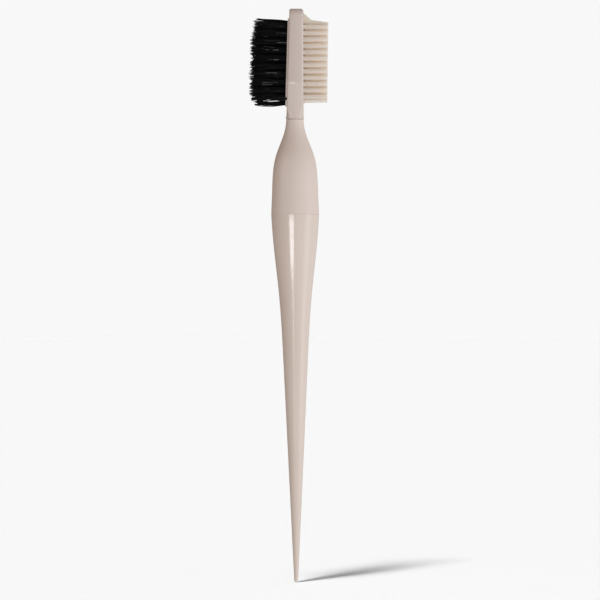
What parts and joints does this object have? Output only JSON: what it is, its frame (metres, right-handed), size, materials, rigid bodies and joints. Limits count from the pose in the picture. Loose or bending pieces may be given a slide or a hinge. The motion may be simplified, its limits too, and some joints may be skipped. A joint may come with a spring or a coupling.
{
  "type": "tint brush",
  "caption": "Slim hand-held brush: a matte grip and glossy pointed tail carry a flat head with black bristle tufts on one face and a fine staggered comb on the other.",
  "frame": {"origin": "tip of the pointed tail, on the handle's axis", "axes": "+Z from the tail's tip to the top of the head, +X from the bristle side to the comb side, Y across the head's depth"},
  "size_m": [0.0283, 0.0168, 0.2],
  "materials": {
    "head_plastic": "satin moulded plastic, warm greige",
    "comb_plastic": "satin moulded plastic, warm cream",
    "grip_plastic": "soft matte moulded plastic, pinkish beige",
    "tail_plastic": "polished moulded plastic, pinkish beige",
    "bristle": "black nylon filament, slightly shiny along its length",
    "anchor_wire": "plain drawn wire, hidden"
  },
  "bodies": {
    "root": {"comb": "comb_plastic", "grip": "grip_plastic", "head_block": "head_plastic", "tail": "tail_plastic", "tuft_01": "bristle", "tuft_02": "bristle", "tuft_03": "bristle", "tuft_04": "bristle", "tuft_05": "bristle", "tuft_06": "bristle", "tuft_07": "bristle", "tuft_08": "bristle", "tuft_09": "bristle", "tuft_10": "bristle", "tuft_11": "bristle", "tuft_12": "bristle", "tuft_13": "bristle", "tuft_14": "bristle", "tuft_15": "bristle", "tuft_16": "bristle", "tuft_17": "bristle", "tuft_18": "bristle", "tuft_19": "bristle", "tuft_20": "bristle", "tuft_21": "bristle", "tuft_22": "bristle", "tuft_23": "bristle", "tuft_24": "bristle", "tuft_25": "bristle", "tuft_26": "bristle", "tuft_27": "bristle", "tuft_28": "bristle", "tuft_29": "bristle", "tuft_30": "bristle", "tuft_31": "bristle", "tuft_anchors": "anchor_wire"}
  },
  "joints": []
}
